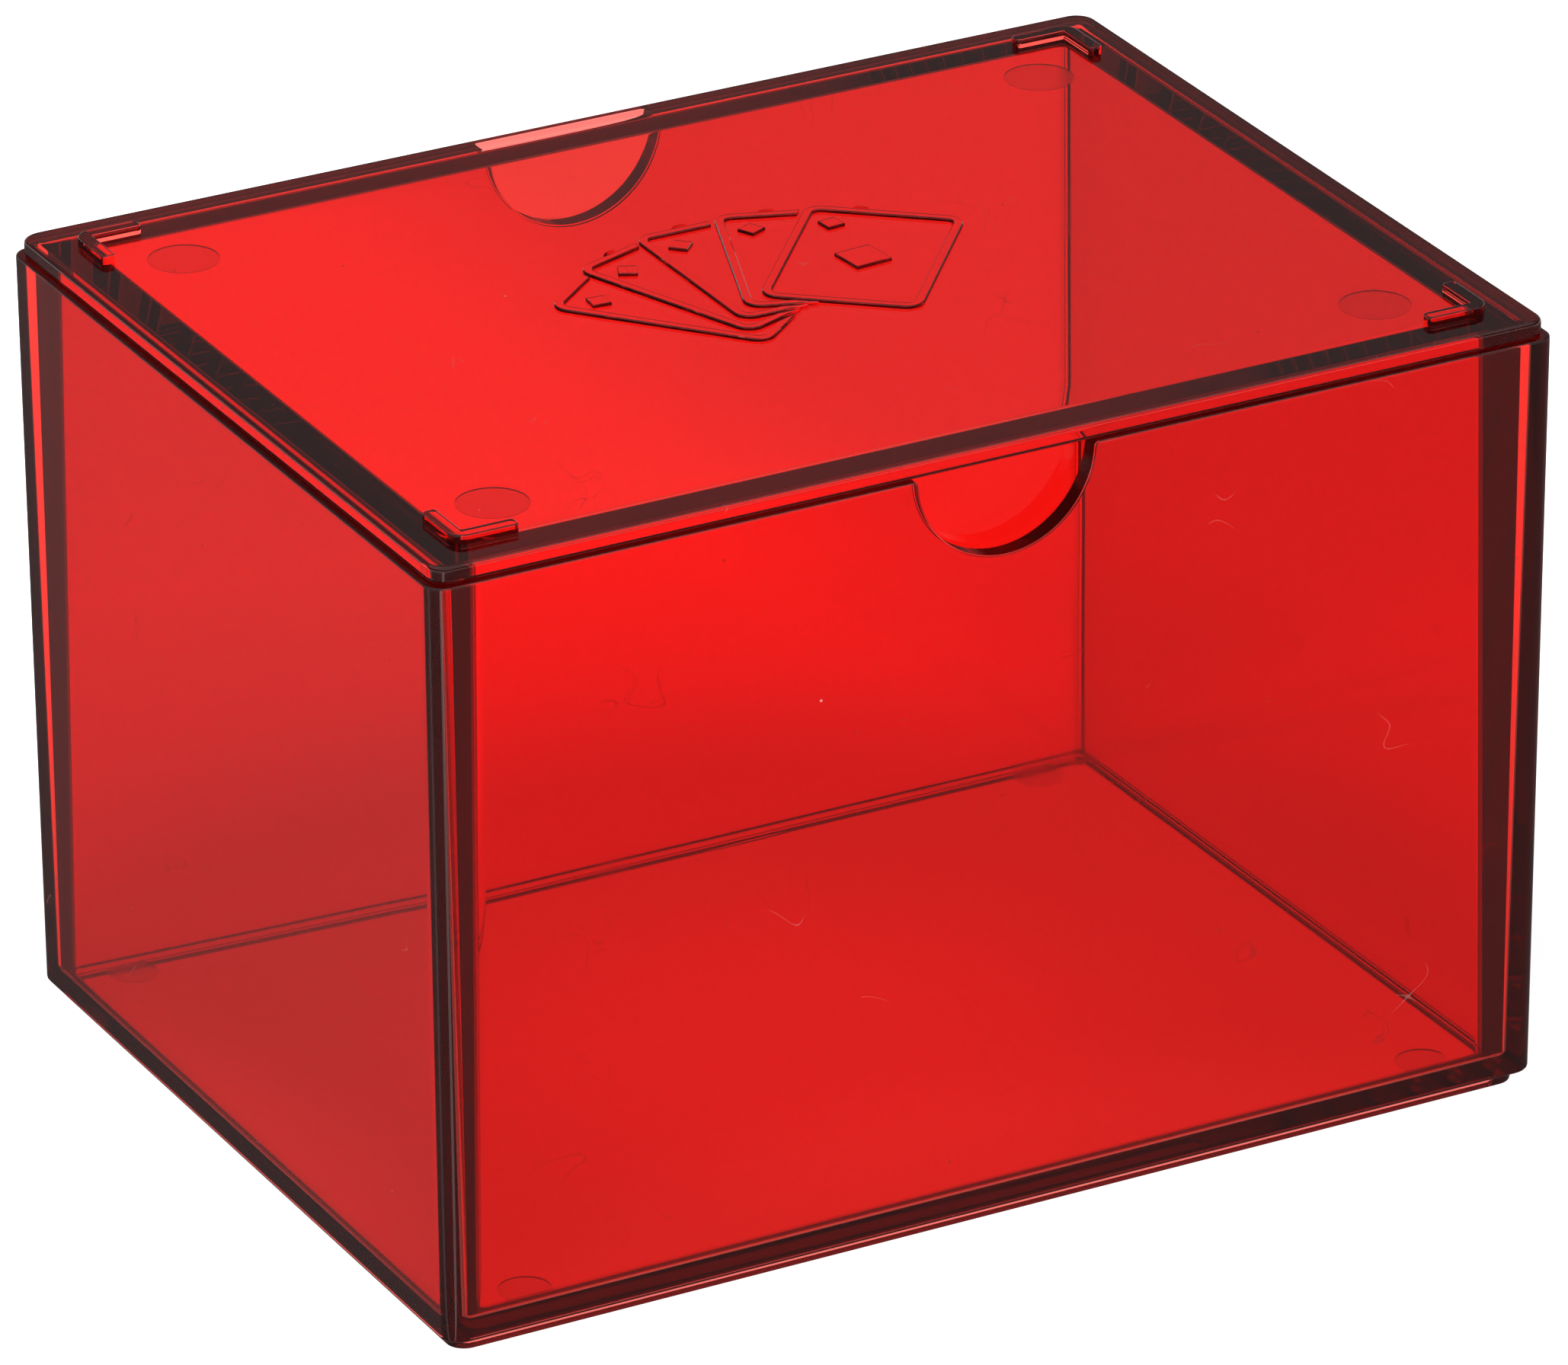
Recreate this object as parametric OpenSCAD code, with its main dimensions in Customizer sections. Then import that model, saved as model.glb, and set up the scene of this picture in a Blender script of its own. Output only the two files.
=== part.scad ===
// Two-piece card deck box, moulded in clear tinted plastic.
// The base is an open tray that stands on a low foot ring.  The lid is a plate with four full-depth
// walls, which slide down inside the base until the plate rests on the base's rim.
// Origin: centre of the footprint, on the surface the box stands on.  +X runs along the long side,
// -Y is the front and +Z is up.  Millimetres.

/* [Overall size] */
// Outer length of the base at its rim
box_length = 106; // [102:0.5:120]
// Outer width of the base at its rim
box_width = 80.2; // [76:0.1:100]
// Height from the foot to the lid's top face
box_height = 71.9; // [68:0.1:90]
// Radius of the outer upright corners
corner_radius = 1.7; // [1.4:0.1:2.5]

/* [Base] */
// Wall thickness of the base at the rim
base_wall = 1.85; // [1.5:0.05:2.1]
// Wall thickness of the base at the floor
base_wall_floor = 2.2; // [1.8:0.05:2.4]
// How far each outer side leans in, from the rim down to the foot
base_taper = 0.4; // [0.2:0.1:0.6]
// Thickness of the floor
floor_thickness = 1.9; // [1.4:0.05:2.1]
// Height of the foot ring below the walls
foot_height = 1.25; // [1:0.05:1.6]
// Depth of the recess inside the foot ring, under the floor
recess_depth = 0.8; // [0.4:0.05:1.2]
// Distance from the foot ring's outside to the wall's lower edge
foot_inset = 1.1; // [0.8:0.1:1.4]
// Width of the foot ring
foot_width = 1.7; // [1:0.1:2.4]
// Radius of the half-round thumb notches in both long walls
notch_radius = 8.3; // [6:0.1:12]

/* [Lid] */
// Thickness of the lid's plate
plate_thickness = 1.45; // [1.2:0.05:1.8]
// Distance from the plate's edge to the base's outline
plate_inset = 0.55; // [0.3:0.05:0.8]
// Thickness of the lid's two short walls where they meet the plate
short_wall_root = 2.7; // [1.8:0.05:3]
// Thickness of the lid's two short walls at their free edge
short_wall_edge = 1.45; // [1.2:0.05:1.8]
// Thickness of the lid's two long walls where they meet the plate
long_wall_root = 2.8; // [1.8:0.05:3]
// Thickness of the lid's two long walls at their free edge
long_wall_edge = 1.5; // [1.2:0.05:1.8]
// Space between the two walls at the rim
gap_at_rim = 0.6; // [0.4:0.05:0.8]
// Space between the two walls at the floor
gap_at_floor = 0.15; // [0.15:0.01:0.35]
// Height of the stacking ribs above the plate
rib_height = 0.8; // [0.4:0.1:1]
// Length of each arm of a stacking rib
rib_arm = 6; // [4:0.5:10]
// Width of a stacking rib
rib_width = 1.3; // [0.8:0.1:1.6]
// Height of the card-fan emblem above the plate
emblem_height = 0.3; // [0.2:0.05:0.5]
// Number of cards in the emblem's fan
emblem_cards = 5; // [3:1:7]

/* [Hidden] */

tint = [0.85, 0.05, 0.06, 0.6];
seat_gap = 0.05;            // between the plate and the rim it rests on
edge_gap = 0.28;            // between the lid's free edge and the floor
rib_play = 0.9;             // between a rib and the foot ring of a box stacked on top
slab = 0.01;                // thin slice that a drafted block is hulled from
past = 1;                   // how far a cutter runs past a face
round_fn = 32;

rim_z = box_height - plate_thickness - seat_gap;
plate_z = box_height - plate_thickness;
floor_z = recess_depth + floor_thickness;
lid_edge_z = floor_z + edge_gap;

// Insets from the base's outline at the rim
base_inner_rim = base_wall;
base_inner_floor = base_taper + base_wall_floor;
lid_outer_rim = base_inner_rim + gap_at_rim;
lid_outer_edge = base_inner_floor + gap_at_floor;
lid_inner_root = [lid_outer_rim + short_wall_root, lid_outer_rim + long_wall_root];
lid_inner_edge = [lid_outer_edge + short_wall_edge, lid_outer_edge + long_wall_edge];
foot_outer = base_taper + foot_inset;
foot_inner = foot_outer + foot_width;
rib_outer = foot_inner + rib_play;

inner_radius = 0.5;         // upright inside corners of the base and corners of the lid's walls
cavity_radius = 1;          // upright inside corners of the lid
mark_depth = 0.12;          // shallow round ejector marks
lid_mark_radius = 3.1;
lid_mark_inset = [11.2, 11.2];
floor_mark_radius = 2.3;
floor_mark_inset = [9.5, 6.1];

card_size = [14, 20];
card_radius = 1.6;
card_line = 0.8;
fan_step = 20;              // degrees between neighbouring cards
fan_reach = 13;             // from the fan's pivot to a card's centre
fan_drop = 10;              // pivot below the plate's centre
pip_size = 5;

// Rounded rectangle that is the base's outline at the rim, moved in by inset: one number, or [x, y]
module outline(inset, r) {
    sides = is_list(inset) ? inset : [inset, inset];
    rounded([box_length, box_width] - 2 * sides, r);
}

module rounded(size, r) {
    union() {
        square([size[0] - 2 * r, size[1]], center = true);
        square([size[0], size[1] - 2 * r], center = true);
        for (x = [-1, 1], y = [-1, 1])
            translate([x * (size[0] / 2 - r), y * (size[1] / 2 - r)]) circle(r = r, $fn = round_fn);
    }
}

// Block whose sides lean from inset_low at z_low to inset_high at z_high
module drafted(inset_low, z_low, inset_high, z_high, r) {
    hull() {
        translate([0, 0, z_low]) linear_extrude(slab) outline(inset_low, r);
        translate([0, 0, z_high - slab]) linear_extrude(slab) outline(inset_high, r);
    }
}

// Puts its child at the four corners, mirrored so that each one faces the centre alike
module at_corners(inset) {
    for (x = [0, 1], y = [0, 1])
        mirror([x, 0, 0]) mirror([0, y, 0])
            translate([box_length / 2 - inset[0], box_width / 2 - inset[1], 0]) children();
}

// Foot ring with the floor's slab inside it
module foot() {
    difference() {
        linear_extrude(foot_height + past) outline(foot_outer, corner_radius);
        translate([0, 0, -past]) linear_extrude(past + recess_depth) outline(foot_inner, inner_radius);
    }
}

module thumb_notches() {
    translate([0, 0, rim_z]) rotate([90, 0, 0])
        cylinder(r = notch_radius, h = box_width + 2 * past, center = true, $fn = 96);
}

module base_shell() {
    color(tint) difference() {
        union() {
            drafted(base_taper, foot_height, 0, rim_z, corner_radius);
            foot();
        }
        drafted(base_inner_floor, floor_z, base_inner_rim, rim_z + slab, inner_radius);
        translate([0, 0, rim_z]) linear_extrude(past) outline(-past, inner_radius);
        thumb_notches();
        translate([0, 0, floor_z - mark_depth])
            at_corners(floor_mark_inset) cylinder(r = floor_mark_radius, h = past, $fn = 64);
    }
}

// L-shaped rib with its round outer corner at the origin and its arms towards -X and -Y
module stacking_rib() {
    arm = rib_arm - rib_width;
    linear_extrude(rib_height + slab) translate([-rib_width, -rib_width]) union() {
        translate([-arm, 0]) square([arm, rib_width]);
        translate([0, -arm]) square([rib_width, arm]);
        intersection() {
            square(rib_width);
            circle(r = rib_width, $fn = round_fn);
        }
    }
}

function card_angle(i) = fan_step * ((emblem_cards - 1) / 2 - i);

module card_at(i) {
    translate([0, -fan_drop]) rotate(card_angle(i)) translate([0, fan_reach]) children();
}

module pip(size) {
    rotate(45) square(size * sqrt(0.5), center = true);
}

// Outline of one card, without the part that the cards above it cover
module card_line_art(i) {
    last = emblem_cards - 1;
    difference() {
        card_at(i) union() {
            difference() {
                rounded(card_size, card_radius);
                rounded(card_size - 2 * [card_line, card_line], card_radius - card_line);
            }
            translate([-card_size[0] / 2 + 2.9, card_size[1] / 2 - 3.4]) pip(2.4);
            if (i == last) pip(pip_size);
        }
        if (i < last) card_at(i + 1) rounded(card_size + [card_line, card_line], card_radius + card_line / 2);
    }
}

module emblem() {
    linear_extrude(emblem_height + slab) for (i = [0 : emblem_cards - 1]) difference() {
        card_line_art(i);
        if (i + 2 < emblem_cards) for (j = [i + 2 : emblem_cards - 1])
            card_at(j) rounded(card_size + [card_line, card_line], card_radius + card_line / 2);
    }
}

module lid_shell() {
    color(tint) difference() {
        union() {
            translate([0, 0, plate_z]) linear_extrude(plate_thickness) outline(plate_inset, corner_radius);
            drafted(lid_outer_edge, lid_edge_z, lid_outer_rim, plate_z + slab, inner_radius);
            translate([0, 0, box_height - slab]) {
                at_corners([rib_outer, rib_outer]) stacking_rib();
                emblem();
            }
        }
        translate([0, 0, -slab]) drafted(lid_inner_edge, lid_edge_z, lid_inner_root, plate_z + slab, cavity_radius);
        translate([0, 0, plate_z - past])
            at_corners(lid_mark_inset) cylinder(r = lid_mark_radius, h = past + mark_depth, $fn = 64);
    }
}

base_shell();
lid_shell();
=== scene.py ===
import math

import bmesh
import bpy
from mathutils import Matrix, Vector


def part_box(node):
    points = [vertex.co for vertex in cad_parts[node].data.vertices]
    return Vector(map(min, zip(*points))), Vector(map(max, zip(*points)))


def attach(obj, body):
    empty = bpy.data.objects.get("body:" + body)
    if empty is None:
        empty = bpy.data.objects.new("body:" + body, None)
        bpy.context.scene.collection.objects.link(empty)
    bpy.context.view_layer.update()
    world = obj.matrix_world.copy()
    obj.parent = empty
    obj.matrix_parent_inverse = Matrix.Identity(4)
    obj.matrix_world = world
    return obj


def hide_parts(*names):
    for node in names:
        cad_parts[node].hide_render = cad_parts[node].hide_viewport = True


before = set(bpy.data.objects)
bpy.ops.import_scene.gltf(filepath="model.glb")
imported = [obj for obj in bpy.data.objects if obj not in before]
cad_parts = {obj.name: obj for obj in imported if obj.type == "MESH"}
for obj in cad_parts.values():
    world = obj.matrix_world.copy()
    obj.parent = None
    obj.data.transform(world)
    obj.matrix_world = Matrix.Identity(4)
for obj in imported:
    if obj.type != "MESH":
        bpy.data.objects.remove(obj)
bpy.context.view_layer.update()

MM = 0.001
base_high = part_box("base_shell")[1]
lid_low, lid_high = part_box("lid_shell")

# Sizes in millimetres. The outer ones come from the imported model.
HALF_X = base_high.x / MM
HALF_Y = base_high.y / MM
RIM_Z = base_high.z / MM
RIB_HEIGHT = 0.8
TOP_Z = lid_high.z / MM - RIB_HEIGHT
PLATE_THICKNESS = 1.45
PLATE_Z = TOP_Z - PLATE_THICKNESS
LID_EDGE_DROP = 0.12     # how far the lid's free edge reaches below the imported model's
LID_EDGE_Z = lid_low.z / MM - LID_EDGE_DROP

BASE_WALL = 1.85
BASE_WALL_FLOOR = 2.2
BASE_TAPER = 0.4
FOOT_HEIGHT = 1.25
FOOT_INSET = 1.1
FOOT_WIDTH = 1.7
RECESS_Z = 0.8
FLOOR_THICKNESS = 1.9
FLOOR_Z = RECESS_Z + FLOOR_THICKNESS
NOTCH_RADIUS = 8.3

PLATE_INSET = 0.55
LID_OUTER_RIM = 2.45
LID_OUTER_EDGE = 2.75
SHORT_WALL_ROOT = 2.7
SHORT_WALL_EDGE = 1.45
LONG_WALL_ROOT = 2.8
LONG_WALL_EDGE = 1.5

OUTER_CORNER = 1.7
BASE_INNER_CORNER = 0.4
LID_OUTER_CORNER = 0.4
LID_INNER_CORNER = 1.05
FLAT_CORNER = 0.8        # inside of the foot ring, and rings that close a flat face

FLOOR_MARK_RADIUS = 2.3
FLOOR_MARK_INSET = (9.5, 6.1)
LID_MARK_RADIUS = 3.1
LID_MARK_INSET = (11.2, 11.2)
MARK_DEPTH = 0.12
RIB_INSET = 4.1

SIDE_STEPS = 7
CORNER_STEPS = 8
FILLET_STEPS = 4
MARK_STEPS = 64
SINK = 0.2               # how deep a raised shape reaches into the plate
PAST = 1                 # how far a cutter runs past a face


# ---------------------------------------------------------------- mesh tools

def rounded_path(corners):
    """Profile through corners of (inset, z, plan radius, fillet, extra inset along Y), each rounded.

    Gives (inset, z, plan radius, extra) points for ring()."""
    path = []
    for i, (inset, z, plan, fillet, extra) in enumerate(corners):
        if i in (0, len(corners) - 1):
            path.append((inset, z, plan, extra))
            continue
        here = Vector((inset, z))
        before, after = Vector(corners[i - 1][:2]), Vector(corners[i + 1][:2])
        u, v = before - here, after - here
        turn = u.angle(v)
        reach = fillet / math.tan(turn / 2)
        ends = [[start + (corners[j][k] - start) * reach / side.length
                 for k, start in ((2, plan), (4, extra))]
                for j, side in ((i - 1, u), (i + 1, v))]
        u, v = u.normalized(), v.normalized()
        centre = here + (u + v).normalized() * fillet / math.sin(turn / 2)
        start, end = here + u * reach - centre, here + v * reach - centre
        sweep = start.angle(end)
        for k in range(FILLET_STEPS + 1):
            t = k / FILLET_STEPS
            p = centre + (start * math.sin((1 - t) * sweep) + end * math.sin(t * sweep)) / math.sin(sweep)
            path.append((p.x, p.y, *(first + (last - first) * t for first, last in zip(*ends))))
    return path


def ring(inset, z, plan, extra=0):
    """The base's outline moved in by inset, and by extra more along Y, with corners of radius plan."""
    half_x, half_y = HALF_X - inset, HALF_Y - inset - extra
    arcs = []
    for k, (sx, sy) in enumerate(((1, 1), (-1, 1), (-1, -1), (1, -1))):
        cx, cy = sx * (half_x - plan), sy * (half_y - plan)
        angles = [math.radians(90 * (k + i / CORNER_STEPS)) for i in range(CORNER_STEPS + 1)]
        arcs.append([Vector((cx + plan * math.cos(a), cy + plan * math.sin(a), z)) for a in angles])
    points = []
    for k, arc in enumerate(arcs):
        points += arc
        after = arcs[(k + 1) % 4][0]
        points += [arc[-1].lerp(after, i / SIDE_STEPS) for i in range(1, SIDE_STEPS)]
    return points


def new_object(name, bm):
    bmesh.ops.recalc_face_normals(bm, faces=bm.faces)
    bmesh.ops.scale(bm, vec=(MM, MM, MM), verts=bm.verts)
    mesh = bpy.data.meshes.new(name)
    bm.to_mesh(mesh)
    bm.free()
    obj = bpy.data.objects.new(name, mesh)
    bpy.context.scene.collection.objects.link(obj)
    return obj


def loft(name, rings):
    """Closed solid through rings of equally many points, with flat ends."""
    bm = bmesh.new()
    loops = [[bm.verts.new(p) for p in points] for points in rings]
    for low, high in zip(loops, loops[1:]):
        for i in range(len(low)):
            j = (i + 1) % len(low)
            bm.faces.new((low[i], low[j], high[j], high[i]))
    bm.faces.new(list(reversed(loops[0])))
    bm.faces.new(loops[-1])
    return new_object(name, bm)


def bake(obj):
    """Applies the object's modifiers."""
    depsgraph = bpy.context.evaluated_depsgraph_get()
    mesh = bpy.data.meshes.new_from_object(obj.evaluated_get(depsgraph))
    obj.modifiers.clear()
    obj.data = mesh


def combine(target, tools, operation):
    """Boolean of target with each tool, which is used up."""
    for tool in tools:
        modifier = target.modifiers.new("cut", "BOOLEAN")
        modifier.operation = operation
        modifier.solver = "EXACT"
        modifier.object = tool
    bake(target)
    for tool in tools:
        bpy.data.objects.remove(tool)


def circle(radius, steps, z, centre=(0, 0)):
    return [Vector((centre[0] + radius * math.cos(2 * math.pi * i / steps),
                    centre[1] + radius * math.sin(2 * math.pi * i / steps), z)) for i in range(steps)]


def at_corners(inset_x, inset_y):
    return [(sx * (HALF_X - inset_x), sy * (HALF_Y - inset_y)) for sx in (-1, 1) for sy in (-1, 1)]


# ---------------------------------------------------------------- the two shells

NOTCH_LIP = 0.45
NOTCH_EDGE = 0.14
NOTCH_ABOVE = 3          # how far the cutter reaches above the rim
NOTCH_INSIDE = 0.3       # and past the wall's inner face
NOTCH_STEPS = 96
LIP_STEPS = 6
EASE_STEPS = 3


def notch_outline(grow, y):
    """Half-round notch with rounded lips at the rim, made larger by grow, at depth y."""
    radius, lip = NOTCH_RADIUS + grow, NOTCH_LIP - grow
    lip_x = NOTCH_RADIUS + NOTCH_LIP
    side = [(lip_x, NOTCH_ABOVE)]
    for k in range(LIP_STEPS + 1):
        a = math.radians(90 - 90 * k / LIP_STEPS)
        side.append((lip_x - lip * math.cos(a), lip * math.sin(a) - NOTCH_LIP))
    start = math.asin(NOTCH_LIP / radius)
    turns = [math.pi + start + (math.pi - 2 * start) * k / NOTCH_STEPS for k in range(1, NOTCH_STEPS)]
    arc = [(radius * math.cos(a), radius * math.sin(a)) for a in turns]
    points = [(-x, z) for x, z in side] + arc + side[::-1]
    return [Vector((x, y, RIM_Z + z)) for x, z in points]


def notch_cutter():
    """Cuts both long walls, and eases the four edges that it makes."""
    outside, inside = HALF_Y, HALF_Y - BASE_WALL
    turns = [math.radians(90 * k / EASE_STEPS) for k in range(EASE_STEPS + 1)]
    outer = [(outside - NOTCH_EDGE * math.sin(a), NOTCH_EDGE * math.cos(a)) for a in turns]
    inner = [(inside + NOTCH_EDGE * math.sin(a), NOTCH_EDGE * math.cos(a)) for a in reversed(turns)]
    depths = [(outside + PAST, NOTCH_EDGE), *outer, *inner, (inside - NOTCH_INSIDE, NOTCH_EDGE)]
    back = [(-y, grow) for y, grow in reversed(depths)]
    return loft("notch_cutter", [notch_outline(grow, y) for y, grow in depths + back])


def mark_cutters(inset, radius, z_low, z_high):
    return [loft("mark", [circle(radius, MARK_STEPS, z, c) for z in (z_low, z_high)])
            for c in at_corners(*inset)]


def make_base():
    foot_outer = BASE_TAPER + FOOT_INSET
    foot_inner = foot_outer + FOOT_WIDTH
    inner_floor = BASE_TAPER + BASE_WALL_FLOOR
    profile = rounded_path([
        (foot_inner + 1.5, RECESS_Z, FLAT_CORNER, 0, 0),
        (foot_inner, RECESS_Z, FLAT_CORNER, 0.25, 0),
        (foot_inner, 0, FLAT_CORNER, 0.2, 0),
        (foot_outer, 0, OUTER_CORNER, 0.2, 0),
        (foot_outer, FOOT_HEIGHT, OUTER_CORNER, 0.2, 0),
        (BASE_TAPER, FOOT_HEIGHT, OUTER_CORNER, 0.35, 0),
        (0, RIM_Z, OUTER_CORNER, 0.2, 0),
        (BASE_WALL, RIM_Z, BASE_INNER_CORNER, 0.6, 0),
        (inner_floor, FLOOR_Z, BASE_INNER_CORNER, 0.45, 0),
        (inner_floor + 3, FLOOR_Z, FLAT_CORNER, 0, 0),
    ])
    base = loft("deck_box_base", [ring(*p) for p in profile])
    marks = mark_cutters(FLOOR_MARK_INSET, FLOOR_MARK_RADIUS, FLOOR_Z - MARK_DEPTH, FLOOR_Z + PAST)
    combine(base, [notch_cutter()] + marks, "DIFFERENCE")
    return base


def filleted(corners, radii, steps=5):
    """Closed outline through corners, each rounded by its radius."""
    points = []
    count = len(corners)
    for i, here in enumerate(corners):
        u, v = corners[i - 1] - here, corners[(i + 1) % count] - here
        reach = radii[i] / math.tan(u.angle(v) / 2)
        u, v = u.normalized(), v.normalized()
        centre = here + (u + v).normalized() * radii[i] / math.sin(u.angle(v) / 2)
        start, end = here + u * reach - centre, here + v * reach - centre
        sweep = start.angle(end)
        for k in range(steps + 1):
            t = k / steps
            toward = (start * math.sin((1 - t) * sweep) + end * math.sin(t * sweep)) / math.sin(sweep)
            points.append(centre + toward)
    return points


RIB_WIDTH = 1.3
RIB_ARM = 6
RIB_EDGE = 0.16
RIB_OUTER_CORNER = 1.4
RIB_END_CORNER = 0.4
RIB_INNER_CORNER = 0.1


def rib_outline(corner, z, shrink):
    """L with its rounded outer corner at corner and its arms towards the middle of the plate."""
    sx, sy = -math.copysign(1, corner[0]), -math.copysign(1, corner[1])
    near, far, arm = shrink, RIB_WIDTH - shrink, RIB_ARM - shrink
    flat = [(near, near), (arm, near), (arm, far), (far, far), (far, arm), (near, arm)]
    end = RIB_END_CORNER - shrink
    radii = [RIB_OUTER_CORNER - shrink, end, end, RIB_INNER_CORNER + shrink, end, end]
    outline = filleted([Vector(p) for p in flat], radii)
    return [Vector((corner[0] + sx * p.x, corner[1] + sy * p.y, z)) for p in outline]


def stacking_rib(corner):
    top = TOP_Z + RIB_HEIGHT
    rings = [rib_outline(corner, TOP_Z - SINK, 0)]
    for k in range(EASE_STEPS + 1):
        a = math.radians(90 * k / EASE_STEPS)
        rings.append(rib_outline(corner, top - RIB_EDGE * (1 - math.sin(a)), RIB_EDGE * (1 - math.cos(a))))
    return loft("rib", rings)


def make_lid():
    inset_root, inset_edge = LID_OUTER_RIM + SHORT_WALL_ROOT, LID_OUTER_EDGE + SHORT_WALL_EDGE
    extra_root, extra_edge = LONG_WALL_ROOT - SHORT_WALL_ROOT, LONG_WALL_EDGE - SHORT_WALL_EDGE
    profile = rounded_path([
        (8, TOP_Z, FLAT_CORNER, 0, 0),
        (PLATE_INSET, TOP_Z, OUTER_CORNER, 0.35, 0),
        (PLATE_INSET, PLATE_Z, OUTER_CORNER, 0.2, 0),
        (LID_OUTER_RIM, PLATE_Z, LID_OUTER_CORNER, 0.7, 0),
        (LID_OUTER_EDGE, LID_EDGE_Z, LID_OUTER_CORNER, 0.2, 0),
        (inset_edge, LID_EDGE_Z, LID_INNER_CORNER, 0.3, extra_edge),
        (inset_root, PLATE_Z, LID_INNER_CORNER, 0.4, extra_root),
        (inset_root + 4, PLATE_Z, FLAT_CORNER, 0, extra_root),
    ])
    lid = loft("deck_box_lid", [ring(*p) for p in profile])
    marks = mark_cutters(LID_MARK_INSET, LID_MARK_RADIUS, PLATE_Z - PAST, PLATE_Z + MARK_DEPTH)
    combine(lid, marks, "DIFFERENCE")
    ribs = [stacking_rib(c) for c in at_corners(RIB_INSET, RIB_INSET)]
    combine(lid, ribs + card_fan(), "UNION")
    return lid


# ---------------------------------------------------------------- emblem

CARD_HALF = (7, 10)
CARD_RADIUS = 1.6
CARD_LINE = 0.8
CARDS = 5
FAN_STEP = 20
FAN_REACH = 13
FAN_DROP = 10
EMBLEM_HEIGHT = 0.3
EMBLEM_CHAMFER = 0.08
CARD_STEPS = 8
INDEX_PLACE = (2.9, 3.4)     # small pip, in from the card's upper left corner
INDEX_SIZE = 2.4
PIP_SIZE = 5


def card_outline(inset, z, place):
    half_x, half_y = CARD_HALF[0] - inset, CARD_HALF[1] - inset
    radius = max(CARD_RADIUS - inset, 0.05)
    points = []
    for k, (sx, sy) in enumerate(((1, 1), (-1, 1), (-1, -1), (1, -1))):
        for i in range(CARD_STEPS + 1):
            a = math.radians(90 * (k + i / CARD_STEPS))
            x = sx * (half_x - radius) + radius * math.cos(a)
            y = sy * (half_y - radius) + radius * math.sin(a)
            points.append(place @ Vector((x, y, 0)) + Vector((0, 0, z)))
    return points


def card_place(i):
    turn = Matrix.Rotation(math.radians(FAN_STEP * ((CARDS - 1) / 2 - i)), 4, "Z")
    return Matrix.Translation((0, -FAN_DROP, 0)) @ turn @ Matrix.Translation((0, FAN_REACH, 0))


def eased(outline, low, high):
    """Solid with a small chamfer around its top; outline gives the points at an inset and a height."""
    return [outline(0, low), outline(0, high - EMBLEM_CHAMFER), outline(EMBLEM_CHAMFER, high)]


def pip(place, x, y, size, low, high):
    def outline(inset, z):
        half = size / 2 - inset
        corners = ((half, 0), (0, half), (-half, 0), (0, -half))
        return [place @ Vector((x + dx, y + dy, 0)) + Vector((0, 0, z)) for dx, dy in corners]
    return loft("pip", eased(outline, low, high))


def card_fan():
    low, high = TOP_Z - SINK, TOP_Z + EMBLEM_HEIGHT
    cards = []
    for i in range(CARDS):
        place = card_place(i)
        card = loft("card", eased(lambda inset, z: card_outline(inset, z, place), low, high))
        hole = loft("hole", [card_outline(CARD_LINE, low - PAST, place),
                             card_outline(CARD_LINE, high - EMBLEM_CHAMFER, place),
                             card_outline(CARD_LINE - 2 * EMBLEM_CHAMFER, high + EMBLEM_CHAMFER, place)])
        combine(card, [hole], "DIFFERENCE")
        index_x, index_y = CARD_HALF[0] - INDEX_PLACE[0], CARD_HALF[1] - INDEX_PLACE[1]
        pips = [pip(place, -index_x, index_y, INDEX_SIZE, low, high)]
        if i == CARDS - 1:
            pips.append(pip(place, 0, 0, PIP_SIZE, low, high))
        combine(card, pips, "UNION")
        levels = (low - PAST, high + PAST)
        covers = [loft("cover", [card_outline(-CARD_LINE / 2, z, card_place(j)) for z in levels])
                  for j in range(i + 1, CARDS)]
        if covers:
            combine(card, covers, "DIFFERENCE")
        cards.append(card)
    return cards


# ---------------------------------------------------------------- material

IOR = 1.59
TINT = (1.0, 0.26, 0.23, 1)
DEPTH_COLOUR = (0.9, 0.2, 0.12, 1)
DEPTH_DENSITY = 250
DUST = (0.9, 0.62, 0.6, 1)
HAZE = 0.011                 # share of the light that the clear plastic scatters
MARK_HAZE = 0.13
MARK_ROUGHNESS = 0.2
DUST_HAZE = 0.6

# Scales are per metre
SPECK_CELLS = 230
SPECK_START = 0.8            # only cells above this value hold a speck
SPECK_RADIUS = 0.035         # the largest, in cells
HAIR_PATHS = 160
HAIR_LINE = (0.0008, 0.003)
HAIR_PATCHES = 120
HAIR_START = (0.76, 0.78)
HAIR_STRENGTH = 0.4

SMUDGES = 38
SMUDGE_START = (0.5, 0.75)
SMUDGE_ROUGHNESS = 0.05
WAVES = 45
WAVE_HEIGHT = 0.012          # millimetres
SCRATCHES = 30
SCRATCH_TURN = (0.5, 0.3, 0.9)
SCRATCH_STRETCH = (1, 60, 60)
SCRATCH_START = (0.68, 0.76)
SCRATCH_HEIGHT = 0.0003


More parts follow.
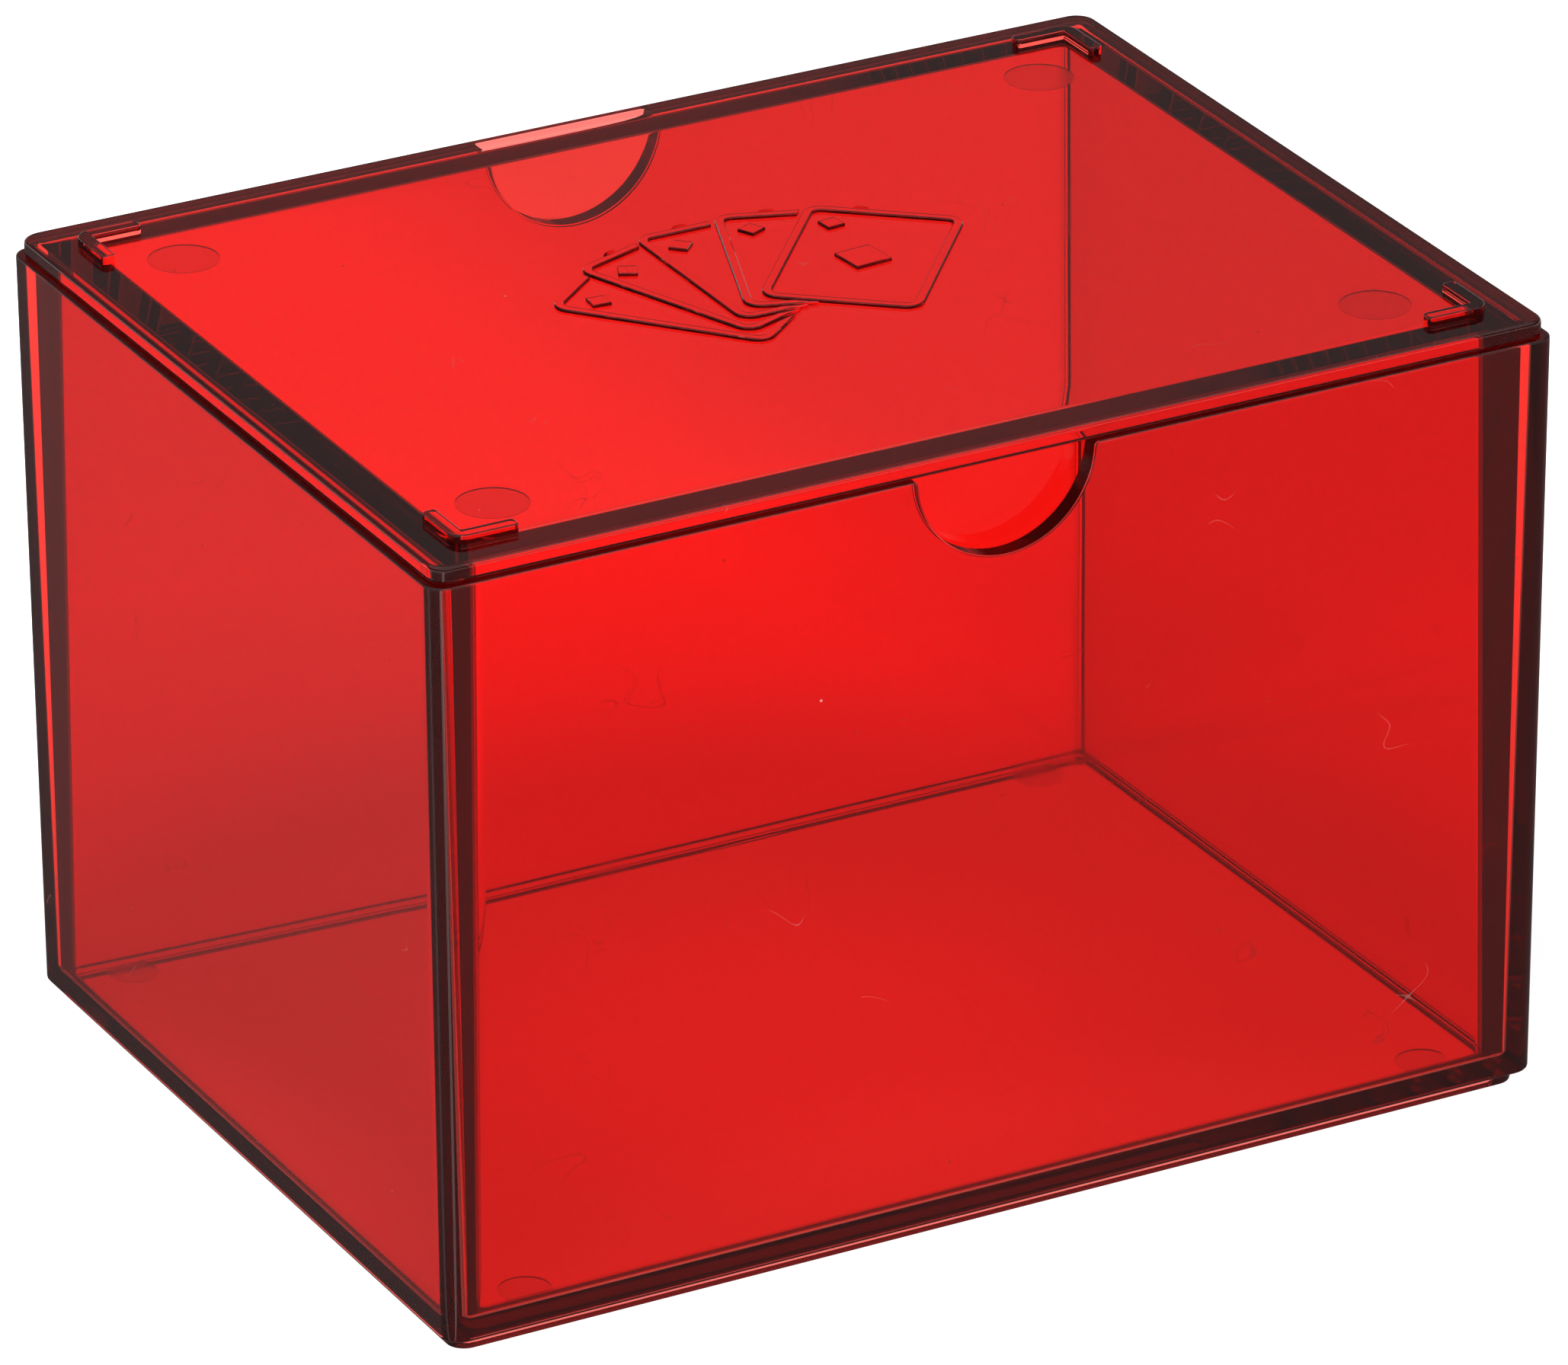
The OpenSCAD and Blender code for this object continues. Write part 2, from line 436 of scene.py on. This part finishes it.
class Graph:
    """Short calls for making and linking a material's nodes."""

    def __init__(self, tree):
        self.nodes, self.links = tree.nodes, tree.links

    def node(self, kind, **settings):
        made = self.nodes.new(kind)
        for key, value in settings.items():
            setattr(made, key, value)
        return made

    def feed(self, socket, value):
        if isinstance(value, bpy.types.NodeSocket):
            self.links.new(value, socket)
        else:
            socket.default_value = value

    def math(self, operation, a, b=0.0, c=0.0):
        made = self.node("ShaderNodeMath", operation=operation)
        for socket, value in zip(made.inputs, (a, b, c)):
            self.feed(socket, value)
        return made.outputs[0]

    def ramp(self, value, low, high, to_low=0.0, to_high=1.0):
        made = self.node("ShaderNodeMapRange", interpolation_type="SMOOTHSTEP")
        for key, v in (("Value", value), ("From Min", low), ("From Max", high),
                       ("To Min", to_low), ("To Max", to_high)):
            self.feed(made.inputs[key], v)
        return made.outputs["Result"]

    def noise(self, vector, scale, detail=2.0, roughness=0.5):
        made = self.node("ShaderNodeTexNoise")
        for key, v in (("Vector", vector), ("Scale", scale), ("Detail", detail), ("Roughness", roughness)):
            self.feed(made.inputs[key], v)
        return made.outputs["Fac"]


def mark_mask(g, place, inset, radius, z_low, z_high):
    """1 on the four round ejector marks."""
    split = g.node("ShaderNodeSeparateXYZ")
    g.feed(split.inputs[0], place)
    dx = g.math("SUBTRACT", g.math("ABSOLUTE", split.outputs["X"]), (HALF_X - inset[0]) * MM)
    dy = g.math("SUBTRACT", g.math("ABSOLUTE", split.outputs["Y"]), (HALF_Y - inset[1]) * MM)
    away = g.math("SQRT", g.math("ADD", g.math("MULTIPLY", dx, dx), g.math("MULTIPLY", dy, dy)))
    disc = g.math("LESS_THAN", away, radius * MM)
    level = g.math("MULTIPLY", g.math("GREATER_THAN", split.outputs["Z"], z_low * MM),
                   g.math("LESS_THAN", split.outputs["Z"], z_high * MM))
    return g.math("MULTIPLY", disc, level)


def dust_mask(g, place):
    """Sparse specks and short hair-like fibres."""
    cells = g.node("ShaderNodeTexVoronoi")
    g.feed(cells.inputs["Vector"], place)
    cells.inputs["Scale"].default_value = SPECK_CELLS
    split = g.node("ShaderNodeSeparateColor")
    g.feed(split.inputs[0], cells.outputs["Color"])
    size = g.ramp(split.outputs["Red"], SPECK_START, 1.0, 0.0, SPECK_RADIUS)
    specks = g.math("LESS_THAN", cells.outputs["Distance"], size)
    contour = g.math("ABSOLUTE", g.math("SUBTRACT", g.noise(place, HAIR_PATHS, 1.0), 0.5))
    line = g.ramp(contour, *HAIR_LINE, 1.0, 0.0)
    patch = g.ramp(g.noise(place, HAIR_PATCHES, 0.0), *HAIR_START)
    hairs = g.math("MULTIPLY", g.math("MULTIPLY", line, patch), HAIR_STRENGTH)
    return g.math("MAXIMUM", specks, hairs)


def surface_height(g, place):
    """Flow waves of the moulding and fine scratches."""
    wave = g.noise(place, WAVES, 1.0)
    stretch = g.node("ShaderNodeMapping")
    g.feed(stretch.inputs["Vector"], place)
    stretch.inputs["Rotation"].default_value = SCRATCH_TURN
    stretch.inputs["Scale"].default_value = SCRATCH_STRETCH
    scratches = g.ramp(g.noise(stretch.outputs["Vector"], SCRATCHES, 2.0), *SCRATCH_START)
    return g.math("ADD", g.math("MULTIPLY", wave, WAVE_HEIGHT), g.math("MULTIPLY", scratches, SCRATCH_HEIGHT))


def plastic(name, marks):
    """Clear red polystyrene, whose colour deepens with thickness, with dust, scratches and dull marks."""
    material = bpy.data.materials.new(name)
    material.use_nodes = True
    g = Graph(material.node_tree)
    shader, output = g.nodes["Principled BSDF"], g.nodes["Material Output"]
    place = g.node("ShaderNodeTexCoord").outputs["Object"]
    shader.inputs["IOR"].default_value = IOR

    dust = dust_mask(g, place)
    colour = g.node("ShaderNodeMix", data_type="RGBA")
    g.feed(colour.inputs["Factor"], dust)
    g.feed(colour.inputs["A"], TINT)
    g.feed(colour.inputs["B"], DUST)
    g.feed(shader.inputs["Base Color"], colour.outputs["Result"])
    dull = mark_mask(g, place, *marks)
    clouded = g.math("MAXIMUM", g.math("MULTIPLY", dust, DUST_HAZE), g.ramp(dull, 0, 1, HAZE, MARK_HAZE))
    g.feed(shader.inputs["Transmission Weight"], g.math("SUBTRACT", 1.0, clouded))

    smudge = g.ramp(g.noise(place, SMUDGES, 3.0, 0.6), *SMUDGE_START, 0.0, SMUDGE_ROUGHNESS)
    g.feed(shader.inputs["Roughness"], g.math("MAXIMUM", smudge, g.math("MULTIPLY", dull, MARK_ROUGHNESS)))

    bump = g.node("ShaderNodeBump")
    bump.inputs["Strength"].default_value = 1
    bump.inputs["Distance"].default_value = MM
    g.feed(bump.inputs["Height"], surface_height(g, place))
    g.feed(shader.inputs["Normal"], bump.outputs["Normal"])

    volume = g.node("ShaderNodeVolumeAbsorption")
    volume.inputs["Color"].default_value = DEPTH_COLOUR
    volume.inputs["Density"].default_value = DEPTH_DENSITY
    g.feed(output.inputs["Volume"], volume.outputs["Volume"])
    return material


def finish_shading(obj, material):
    obj.data.materials.clear()
    obj.data.materials.append(material)
    for polygon in obj.data.polygons:
        polygon.use_smooth = True
        polygon.material_index = 0
    obj.data.set_sharp_from_angle(angle=math.radians(35))
    modifier = obj.modifiers.new("even_normals", "WEIGHTED_NORMAL")
    modifier.mode = "FACE_AREA"
    modifier.weight = 50
    modifier.keep_sharp = True
    bake(obj)


base = make_base()
lid = make_lid()
floor_marks = (FLOOR_MARK_INSET, FLOOR_MARK_RADIUS, FLOOR_Z - 2 * MARK_DEPTH, FLOOR_Z)
lid_marks = (LID_MARK_INSET, LID_MARK_RADIUS, PLATE_Z, PLATE_Z + 2 * MARK_DEPTH)
finish_shading(base, plastic("base_red_polystyrene", floor_marks))
finish_shading(lid, plastic("lid_red_polystyrene", lid_marks))
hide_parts("base_shell")
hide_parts("lid_shell")
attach(base, "base")
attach(lid, "lid")


# ---------------------------------------------------------------- stage

# Floor levels for rays that come straight or through the box, with painted shade and light in them; spans are
# in millimetres
FLOOR_HALF = 3000
FLOOR_DROP = 0.05
# Painted contact shadow: the floor glows dimmer near the box than far from it
FLOOR_FAR = 1.62
FLOOR_NEAR = 1.08
NEAR_TO_FAR = (58, 95)       # from the box's centre
FLOOR_UNDER = 0.2            # painted light added under the middle of the box
UNDER_FADE = (10, 45)
RIGHT_SHADE = 0.8
RIGHT_FADE = (42, 75)        # along X
# Painted light: the floor glows brighter still far from the box
BEYOND = 1.15
BEYOND_FADE = (90, 120)

# Levels for rays that were mirrored on their way: the floor they see is a painted reflection, dim near the
# box, with painted light for the edge bands
EDGE_PATHS = 0.7             # and then left the plastic: painted light, dimmer than the direct floor, that lights the edge bands
EDGE_PATHS_FAR = 0.25
EDGE_FADE = (50, 70)
MIRRORED = 0.13
MIRRORED_FADE = (250, 700)
# Painted sheen: the floor seen in reflections glows brighter on the left
LEFT_PAINTED_SHEEN = 0.03
LEFT_FADE = (-120, -55)
PAINTED_HIGHLIGHT_SECTORS = (((0.54, 0.84), 1.0), ((0.97, -0.24), 0.35))    # painted highlights on the rounded front left corner: direction out from the corner, level
PAINTED_HIGHLIGHT_SPREAD = 0.16

BACKDROP = 0.65
BACKDROP_FADE = (0.12, 0.2)  # height on the unit sphere
OVERHEAD = 0.45
OVERHEAD_FADE = (0.6, 0.8)
SKY_DIM = MIRRORED           # everywhere in the sky, under the other two


def fade(g, value, span, start, end):
    """Smooth change from start to end over a span in millimetres."""
    return g.ramp(value, span[0] * MM, span[1] * MM, start, end)


def path_kinds(g):
    """(1 once a path has bounced off a surface, 1 if its last step went through one)."""
    path = g.node("ShaderNodeLightPath")
    return g.math("GREATER_THAN", path.outputs["Glossy Depth"], 0.5), path.outputs["Is Transmission Ray"]


def blend(g, factor, a, b):
    made = g.node("ShaderNodeMix", data_type="FLOAT")
    for key, value in (("Factor", factor), ("A", a), ("B", b)):
        g.feed(made.inputs[key], value)
    return made.outputs["Result"]


def painted_highlight_sector(g, place, along, level):
    """Painted highlight: a brighter sector of the floor, out from the front left corner, seen only in
    reflections, that puts a highlight on the rounded edge there.
    """
    out_x = g.math("SUBTRACT", g.math("MULTIPLY", place.outputs["X"], -1.0), HALF_X * MM)
    out_y = g.math("SUBTRACT", g.math("MULTIPLY", place.outputs["Y"], -1.0), HALF_Y * MM)
    across = g.math("SUBTRACT", g.math("MULTIPLY", out_x, along[1]), g.math("MULTIPLY", out_y, along[0]))
    ahead = g.math("ADD", g.math("MULTIPLY", out_x, along[0]), g.math("MULTIPLY", out_y, along[1]))
    slope = g.math("DIVIDE", g.math("ABSOLUTE", across), g.math("MAXIMUM", ahead, 0.01 * MM))
    return g.ramp(slope, PAINTED_HIGHLIGHT_SPREAD / 2, PAINTED_HIGHLIGHT_SPREAD, level, 0.0)


def floor():
    """Pale glowing floor whose glow holds painted light and shade: its level depends on the place and on how
    a ray got there.
    """
    half = FLOOR_HALF
    corners = ((-half, -half), (half, -half), (half, half), (-half, half))
    bm = bmesh.new()
    bm.faces.new([bm.verts.new((x, y, -FLOOR_DROP)) for x, y in corners])
    obj = new_object("studio_floor", bm)
    material = bpy.data.materials.new("pale_floor")
    material.use_nodes = True
    material.cycles.emission_sampling = "NONE"
    g = Graph(material.node_tree)
    g.nodes.remove(g.nodes["Principled BSDF"])
    place = g.node("ShaderNodeTexCoord").outputs["Object"]
    length = g.node("ShaderNodeVectorMath", operation="LENGTH")
    g.feed(length.inputs[0], place)
    away = length.outputs["Value"]
    split = g.node("ShaderNodeSeparateXYZ")
    g.feed(split.inputs[0], place)
    along_x = split.outputs["X"]

    # Painted shade to the right of the box, and painted light far from it
    shade = g.math("MULTIPLY", fade(g, along_x, RIGHT_FADE, 1.0, RIGHT_SHADE),
                   fade(g, away, BEYOND_FADE, 1.0, BEYOND))
    # Painted contact shadow near the box, and painted light under it
    painted_shadow_ring_and_pool = g.math("ADD", fade(g, away, NEAR_TO_FAR, FLOOR_NEAR, FLOOR_FAR),
                 fade(g, away, UNDER_FADE, FLOOR_UNDER, 0.0))
    direct = g.math("MULTIPLY", painted_shadow_ring_and_pool, shade)

    # Painted highlights on the rounded front left corner, seen only in reflections
    painted_highlights = [painted_highlight_sector(g, split, along, level) for along, level in PAINTED_HIGHLIGHT_SECTORS]
    painted_highlight = g.math("ADD", *painted_highlights)
    # Painted sheen on the left, seen only in reflections
    left_painted_sheen = fade(g, along_x, LEFT_FADE, LEFT_PAINTED_SHEEN, 0.0)
    # Painted reflection: the floor that reflections see, dim near the box, with a painted sheen and painted
    # highlights added
    mirrored = g.math("ADD", fade(g, away, MIRRORED_FADE, MIRRORED, 1.0), g.math("ADD", painted_highlight, left_painted_sheen))
    # Painted light level for rays that bounced and then left the plastic
    edge_paths = fade(g, away, EDGE_FADE, EDGE_PATHS, EDGE_PATHS_FAR)
    bounced, through = path_kinds(g)
    strength = blend(g, bounced, direct, blend(g, through, mirrored, edge_paths))

    glow = g.node("ShaderNodeEmission")
    g.feed(glow.inputs["Strength"], strength)
    g.feed(g.nodes["Material Output"].inputs["Surface"], glow.outputs["Emission"])
    obj.data.materials.append(material)


def sky():
    """Soft studio light: a band along the horizon, dim walls and a softbox overhead."""
    world = bpy.data.worlds.new("studio_sky")
    bpy.context.scene.world = world
    world.use_nodes = True
    world.cycles.sampling_method = "NONE"
    g = Graph(world.node_tree)
    split = g.node("ShaderNodeSeparateXYZ")
    g.feed(split.inputs[0], g.node("ShaderNodeTexCoord").outputs["Generated"])
    height = split.outputs["Z"]
    backdrop = g.ramp(height, *BACKDROP_FADE, BACKDROP, 0.0)
    overhead = g.ramp(height, *OVERHEAD_FADE, 0.0, OVERHEAD)
    background = g.nodes["Background"]
    g.feed(background.inputs["Strength"], g.math("ADD", g.math("ADD", backdrop, overhead), SKY_DIM))
    background.inputs["Color"].default_value = (1, 1, 1, 1)


CAMERA_TARGET = Vector((0, -0.9, 34.3)) * MM
CAMERA_DISTANCE = 1063.8 * MM
CAMERA_YAW = 28.142
CAMERA_PITCH = 25.118
CAMERA_ROLL = -0.37
CAMERA_LENS = 283.97
SENSOR = 36


def camera():
    data = bpy.data.cameras.new("camera")
    data.sensor_width = SENSOR
    data.lens = CAMERA_LENS
    data.clip_start, data.clip_end = 0.01, 20
    obj = bpy.data.objects.new("camera", data)
    yaw, pitch, roll = (math.radians(a) for a in (CAMERA_YAW, CAMERA_PITCH, CAMERA_ROLL))
    forward = Vector((math.sin(yaw) * math.cos(pitch), math.cos(yaw) * math.cos(pitch), -math.sin(pitch)))
    right = Vector((math.cos(yaw), -math.sin(yaw), 0))
    up = right.cross(forward)
    turned_right = math.cos(roll) * right + math.sin(roll) * up
    turned_up = math.cos(roll) * up - math.sin(roll) * right
    matrix = Matrix((turned_right, turned_up, -forward)).transposed().to_4x4()
    matrix.translation = CAMERA_TARGET - forward * CAMERA_DISTANCE
    obj.matrix_world = matrix
    bpy.context.scene.collection.objects.link(obj)
    bpy.context.scene.camera = obj


def light_settings():
    scene = bpy.context.scene
    scene.view_settings.view_transform = "Standard"
    scene.cycles.max_bounces = 48
    scene.cycles.transmission_bounces = 48
    scene.cycles.glossy_bounces = 48
    scene.cycles.transparent_max_bounces = 8
    scene.cycles.caustics_refractive = True
    scene.cycles.caustics_reflective = True
    scene.cycles.blur_glossy = 0
    scene.cycles.use_denoising = True


floor()
sky()
camera()
light_settings()
